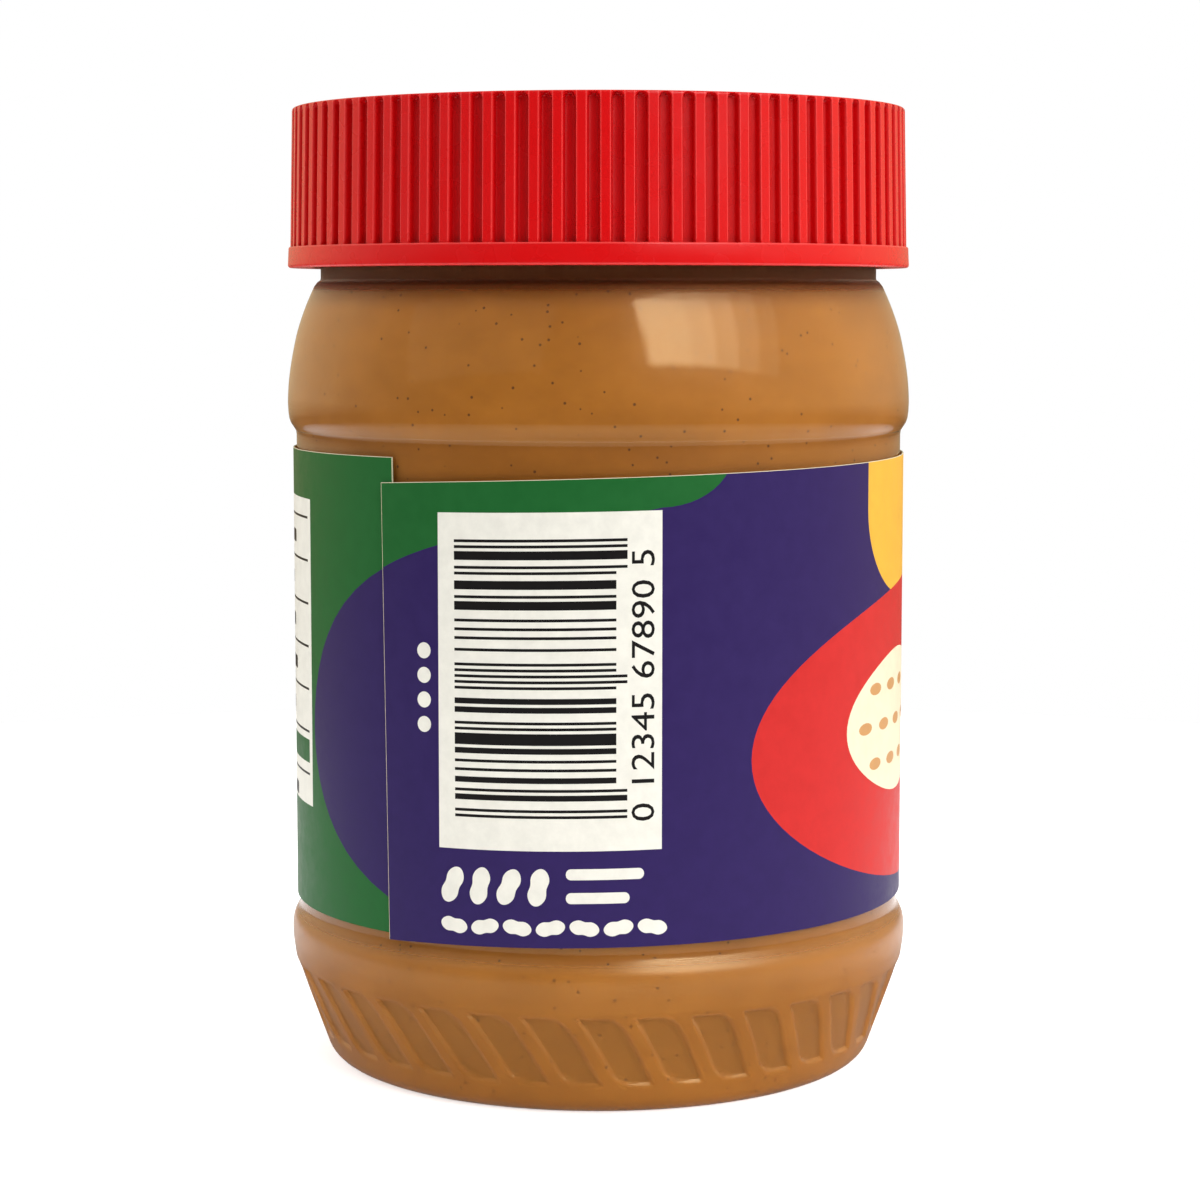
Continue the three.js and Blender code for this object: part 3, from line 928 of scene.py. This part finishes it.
# a white panel with bars and the digits beside them
def barPanelShapes():
    p = barPanel
    shapes = [("white", [roundedBox(p["left"], p["right"], p["low"], p["high"])])]
    for low, high, long in codeBars():
        right = p["longRight"] if long else p["barRight"]
        z0, z1 = (blendTo(p["barLow"], p["barHigh"], v) for v in (low, high))
        shapes.append(("black", [roundedBox(p["barLeft"], right, z0, z1)]))
    digits = digitLoops("0 12345 67890 5", p["digitLeft"], p["digitLow"], p["digitHigh"], p["digitHeight"])
    shapes.append(("black", digits))
    return shapes


def rowOfNuts(row):
    return [("white", [nutShell(row["left"] + row["pitch"] * i, row["height"], *row["half"],
                                smallPrint["nutWaist"], row["tilts"][i % 2], row["steps"])])
            for i in range(row["count"])]


# small dots left of the panel, and under it two rows of nuts with two bars beside them
def smallPrintShapes():
    p = smallPrint
    radius = p["dotRadius"]
    shapes = [("white", [oval(p["dotAngle"], p["dotLow"] + p["dotPitch"] * i, radius, radius, 20)])
              for i in range(p["dots"])]
    shapes += rowOfNuts(p["standing"])
    for low, length in p["barRows"]:
        bar = roundedBox(p["barLeft"], p["barLeft"] + length, low, low + p["barThick"], p["barCorner"], 4)
        shapes.append(("white", [bar]))
    return shapes + rowOfNuts(p["lying"])


# a ruled table with dashes for words and one green band
def tableShapes():
    t = tablePanel
    left, right = t["left"] + t["ruleInset"], t["right"] - t["ruleInset"]
    shapes = [("white", [roundedBox(t["left"], t["right"], t["low"], t["high"])])]
    z = t["high"] - t["firstRule"]
    row = 0
    while z > t["low"] + t["lastRule"]:
        shapes.append(("black", [roundedBox(left, right, z - t["ruleHalf"], z + t["ruleHalf"])]))
        if row == t["bandRow"]:
            low, high = (z - drop for drop in t["bandDrop"])
            shapes.append(("green", [roundedBox(left, right, low, high)]))
        else:
            low, high = (z - drop for drop in t["dashDrop"])
            widths = t["dashes"][row % len(t["dashes"])]
            for loop in dashes(t["left"] + t["dashLeft"], low, high, widths, t["dashGap"], t["dashCorner"]):
                shapes.append(("black", [loop]))
        z -= t["rowPitch"]
        row += 1
    return shapes


# the back: a plain ring with a disc in it, lines that stand for small print, and an empty frame
def backShapes():
    p = backPrint
    rings = [oval(p["ringAngle"], p["ringHeight"], radius, radius, 48) for radius in p["ringRadii"]]
    disc = oval(p["ringAngle"], p["ringHeight"], p["discRadius"], p["discRadius"], 40)
    shapes = [("cream", rings), ("yellow", [disc])]

    def addLine(left, width, z, thick):
        shapes.append(("white", [roundedBox(left, left + width, z, z + thick, p["lineCorner"], 3)]))

    for i, width in enumerate(p["captionWidths"]):
        addLine(p["captionLeft"], width, p["captionTop"] - p["captionPitch"] * i, p["captionThick"])
    for i in range(p["lines"]):
        addLine(p["linesLeft"], p["lineWidths"][i % 4], p["linesTop"] - p["linesPitch"] * i, p["linesThick"])
    shapes.append(("white", [roundedBox(*sizes) for sizes in p["frame"]]))
    return shapes


def printShapes():
    return frontShapes() + barPanelShapes() + smallPrintShapes() + tableShapes() + backShapes()


def insideLoops(loops, x, z):
    inside = False
    for loop in loops:
        for (x0, z0), (x1, z1) in zip(loop, loop[1:] + loop[:1]):
            if (z0 > z) != (z1 > z) and x < x0 + (z - z0) * (x1 - x0) / (z1 - z0):
                inside = not inside
    return inside


# the flat layout: every shape's outline and a line each few degrees, cut into triangles
def flatLayout():
    start, end, lean = label["start"], label["end"], label["endLean"]
    count = round((end - start) / label["columnStep"])
    angles = [blendTo(start, end, i / count) for i in range(count + 1)]
    leaning = [a + lean * (1 - easeStep(0, label["leanFade"], min(a - start, end - a))) for a in angles]
    outline = [(b, labelBottomAt(b)) for b in leaning] + [(a, labelTopAt(a)) for a in angles[::-1]]
    shapes = [(ink, [[(x, z + printRise(x)) for x, z in loop] for loop in loops])
              for ink, loops in printShapes()]
    # a hair of bare paper along the top and at both ends
    bare, past = label["bareEdge"], 3.0  # the strips run on past the paper, which cuts them off
    top = [(a, labelTopAt(a)) for a in angles]
    shapes.append(("cream", [[(a, z - bare) for a, z in top] + [(a, z + past) for a, z in top[::-1]]]))
    for edge, side, wide in ((start, 1, label["bareStart"]), (end, -1, label["bareEnd"])):
        low, high = labelBottomAt(edge), labelTopAt(edge)
        inside = edge + side * wide / mmPerDegree
        outside = edge - side * past
        strip = [(inside + lean, low), (inside, high), (inside, high + past), (outside, high + past),
                 (outside, low - past), (inside + lean, low - past)]
        shapes.append(("cream", [strip]))

    points, edges = [], []

    def addLoop(loop, closed=True):
        base = len(points)
        points.extend(Vector((x * mmPerDegree, z)) for x, z in loop)
        n = len(loop)
        edges.extend((base + i, base + (i + 1) % n) for i in range(n if closed else n - 1))

    addLoop(outline)
    for i in range(1, count):
        addLoop([(leaning[i], labelBottomAt(leaning[i])), (angles[i], labelTopAt(angles[i]))], False)
    for ink, loops in shapes:
        for loop in loops:
            addLoop(loop)
    flat, _, triangles, *_ = delaunay_2d_cdt(points, edges, [], 0, 1e-5)

    across = [[x for loop in loops for x, z in loop] for ink, loops in shapes]
    spans = [(min(xs), max(xs)) for xs in across]
    kept = []
    for tri in triangles:
        middle = sum((flat[i] for i in tri), Vector((0, 0))) / 3
        x, z = middle.x / mmPerDegree, middle.y
        if not insideLoops([outline], x, z):
            continue
        ink = "green"
        for (shapeInk, loops), (low, high) in zip(shapes, spans):
            if low < x < high and insideLoops(loops, x, z):
                ink = shapeInk
        a, b, c = (flat[i] for i in tri)
        turned = (b - a).cross(c - a) < 0
        kept.append((tuple(tri[::-1]) if turned else tuple(tri), ink))
    return flat, kept


def labelRadiusAt(angle):
    t = angle - label["start"]
    return label["radius"] + label["lift"] * (1 - easeStep(label["liftFull"], label["liftEnd"], t))


def makeLabel():
    flat, triangles = flatLayout()
    used = sorted({i for tri, ink in triangles for i in tri})
    number = {old: new for new, old in enumerate(used)}
    places = [(flat[i].x / mmPerDegree, flat[i].y) for i in used]
    outer = [onRound(a, labelRadiusAt(a) + label["thickness"], z) for a, z in places]
    inner = [onRound(a, labelRadiusAt(a), z) for a, z in places]
    n = len(used)
    front = [tuple(number[i] for i in tri) for tri, ink in triangles]
    back = [tuple(i + n for i in tri[::-1]) for tri in front]
    pairs = [pair for tri in front for pair in zip(tri, tri[1:] + tri[:1])]
    known = set(pairs)
    border = [(a, b) for a, b in pairs if (b, a) not in known]
    rim = [(b, a, a + n, b + n) for a, b in border]
    piece = newPiece("paperLabel", outer + inner, front + back + rim)
    names = list(inks)
    for name in names:
        piece.data.materials.append(inkedPaper(name, inks[name]))
    piece.data.materials.append(paperEdge())
    slots = [names.index(ink) for tri, ink in triangles] + [len(names)] * (len(back) + len(rim))
    piece.data.polygons.foreach_set("material_index", slots)
    piece.data.polygons.foreach_set("use_smooth", [True] * len(slots))

    # exact normals, so that the triangles never show in the gloss
    normals = []
    for index, polygon in enumerate(piece.data.polygons):
        for corner in polygon.vertices:
            if index >= len(front) + len(back):
                normals.append(polygon.normal.copy())
            else:
                around = piece.data.vertices[corner].co.copy()
                around.z = 0
                around.normalize()
                normals.append(around if index < len(front) else -around)
    piece.data.normals_split_custom_set(normals)
    print("paperLabel", len(piece.data.polygons), "faces")
    return piece


# build, and put each piece on the root body in place of its node's part

pieces = {
    "jar": (makeJar(clearPlastic()), "clear_plastic"),
    "peanut_butter": (makeContents(pasteFinish()), "peanut_butter"),
    "label": (makeLabel(), "label_print"),
    "cap": (makeCap(redPlastic()), "red_plastic"),
}
for node, (piece, slotName) in pieces.items():
    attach(piece, "root")
    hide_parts(node)
print("pieces tied to the frame")


# studio: a round pale floor, walls and a ceiling of soft light, and lamps at both sides

studio = {
    "floorRadius": 0.32, "floorColour": (0.93, 0.93, 0.93),
    # how pale the floor looks in gloss, by metres from the jar's axis
    "floorInGloss": ((0, 0.15), (0.06, 0.15), (0.085, 0.8), (0.2, 0.8), (0.32, 0.1)),
    "floorGlow": 0.15, "floorGlowSeen": 0.45,
    # how bright the walls are as light and in gloss, by degrees round from the camera's side
    "walls": ((-180, 1.2), (-114, 2.2), (-72, 1.25), (-50, 0.35), (-20, 0.12), (-11, 0.06), (11, 0.06),
              (15, 0.4), (54, 0.8), (72, 1.7), (120, 1.9), (180, 1.2)),
    "glossWalls": ((-180, 0.5), (-114, 1.2), (-72, 0.22), (-42, 0.06), (-11, 0.05), (11, 0.05),
                   (40, 0.25), (66, 1.0), (110, 1.4), (140, 0.7), (180, 0.5)),
    "glossColour": (1.0, 0.78, 0.48),
    "brightest": 3, "below": 0.2, "belowFrom": -0.12,
    "ceiling": 1.1, "ceilingInGloss": 0.9, "ceilingFrom": 0.62, "ceilingTo": 0.8, "seen": 1.0,
    # lamps face the jar: softbox and sheen show only in the gloss, the softbox as strips that fade to its
    # right; bounce, fill and key only light the surfaces
    "lamps": {
        "softbox": {"around": 46, "up": 31.5, "away": 0.9, "roll": -10, "wide": 0.135, "tall": 0.46,
                    "powers": (1.5, 1.42, 1.1, 0.7, 0.34, 0.13), "diffuse": False},
        "bounce": {"around": 37.5, "up": 29.5, "away": 1.0, "roll": -13, "wide": 0.75, "tall": 0.47,
                   "powers": (4.3,), "gloss": False},
        "sheen": {"around": -49, "up": 29, "away": 0.9, "roll": 10, "wide": 0.86, "tall": 0.46,
                  "powers": (0.4,), "diffuse": False},
        "fill": {"around": -49, "up": 29, "away": 1.0, "roll": 10, "wide": 0.95, "tall": 0.51,
                 "powers": (0.95,), "gloss": False},
        "key": {"around": 62, "up": 40, "away": 1.0, "roll": 0, "wide": 0.8, "tall": 0.8, "powers": (2.1,),
                "gloss": False},
    },
}


# one lamp for each power, side by side
def makeLamps(name, place):
    around, up = math.radians(place["around"]), math.radians(place["up"])
    middle = (cadBox[0] + cadBox[1]) / 2
    back = Vector((math.sin(around) * math.cos(up), -math.cos(around) * math.cos(up), math.sin(up)))
    turn = back.to_track_quat("Z", "Y") @ Quaternion((0, 0, 1), math.radians(place["roll"]))
    for i, power in enumerate(place["powers"]):
        data = bpy.data.lights.new(f"{name}{i + 1}", "AREA")
        data.shape = "RECTANGLE"
        data.size = place["wide"]
        data.size_y = place["tall"]
        data.energy = power
        lamp = bpy.data.objects.new(data.name, data)
        aside = (i - (len(place["powers"]) - 1) / 2) * place["wide"]
        lamp.location = middle + back * place["away"] + turn @ Vector((aside, 0, 0))
        lamp.rotation_euler = turn.to_euler()
        lamp.visible_glossy = place.get("gloss", True)
        lamp.visible_diffuse = place.get("diffuse", True)
        bpy.context.scene.collection.objects.link(lamp)


def makeWorld():
    world = bpy.data.worlds.new("studio")
    world.use_nodes = True
    bpy.context.scene.world = world
    tree = world.node_tree
    background = next(n for n in tree.nodes if n.type == "BACKGROUND")
    place = tree.nodes.new("ShaderNodeTexCoord")
    split = tree.nodes.new("ShaderNodeSeparateXYZ")
    tree.links.new(place.outputs["Generated"], split.inputs[0])

    towardsCamera = combined(tree, "MULTIPLY", split.outputs["Y"], -1)
    around = combined(tree, "ARCTAN2", split.outputs["X"], towardsCamera)
    height = split.outputs["Z"]
    angle = ranged(tree, around, -math.pi, math.pi, 0, 1)
    brightness = []
    most = studio["brightest"]
    for walls, ceiling in ((studio["walls"], studio["ceiling"]),
                           (studio["glossWalls"], studio["ceilingInGloss"])):
        # a ramp's values stay under 1, so it holds shares of the brightest that a wall may be
        wall = rampedValue(tree, angle, [(d / 360 + 0.5, b / most) for d, b in walls])
        scale = ranged(tree, height, studio["belowFrom"], 0.0, studio["below"] * most, most)
        dimmed = combined(tree, "MULTIPLY", wall, scale)
        upward = tree.nodes.new("ShaderNodeMix")
        tree.links.new(ranged(tree, height, studio["ceilingFrom"], studio["ceilingTo"], 0, 1),
                       upward.inputs["Factor"])
        tree.links.new(dimmed, upward.inputs[2])
        upward.inputs[3].default_value = ceiling
        brightness.append(upward.outputs[0])
    path = tree.nodes.new("ShaderNodeLightPath")
    tree.links.new(mixedColour(tree, path.outputs["Is Glossy Ray"], (1.0, 1.0, 1.0), studio["glossColour"]),
                   background.inputs["Color"])
    mirrored = tree.nodes.new("ShaderNodeMix")
    shown = tree.nodes.new("ShaderNodeMix")
    tree.links.new(path.outputs["Is Glossy Ray"], mirrored.inputs["Factor"])
    tree.links.new(brightness[0], mirrored.inputs[2])
    tree.links.new(brightness[1], mirrored.inputs[3])
    tree.links.new(path.outputs["Is Camera Ray"], shown.inputs["Factor"])
    tree.links.new(mirrored.outputs[0], shown.inputs[2])
    shown.inputs[3].default_value = studio["seen"]
    tree.links.new(shown.outputs[0], background.inputs["Strength"])


def makeFloor():
    rim = [onRound(3 * i, studio["floorRadius"] / mm, 0) for i in range(120)]
    floor = newPiece("floor", rim, [tuple(range(len(rim)))])
    material, tree, shader = startMaterial("paleFloor", Roughness=0.9, Emission_Color=(1, 1, 1, 1))
    cloud = objectNoise(tree, 3, 2.0, 0.5)
    colour = studio["floorColour"]
    paler = tuple(min(c * 1.03, 1.0) for c in colour)
    path = tree.nodes.new("ShaderNodeLightPath")
    place = tree.nodes.new("ShaderNodeTexCoord")
    away = tree.nodes.new("ShaderNodeVectorMath")
    away.operation = "LENGTH"
    tree.links.new(place.outputs["Object"], away.inputs[0])
    radius = studio["floorRadius"]
    mirrored = rampedValue(tree, ranged(tree, away.outputs["Value"], 0, radius, 0, 1),
                           [(far / radius, value) for far, value in studio["floorInGloss"]])
    tree.links.new(mixedColour(tree, path.outputs["Is Glossy Ray"], mixedColour(tree, cloud, colour, paler),
                               mirrored), shader.inputs["Base Color"])
    glow = ranged(tree, path.outputs["Is Camera Ray"], 0, 1, studio["floorGlow"], studio["floorGlowSeen"])
    tree.links.new(glow, shader.inputs["Emission Strength"])
    floor.data.materials.append(material)


makeWorld()
makeFloor()
for name, place in studio["lamps"].items():
    makeLamps(name, place)
bpy.context.scene.view_settings.view_transform = "Standard"
print("studio lit")
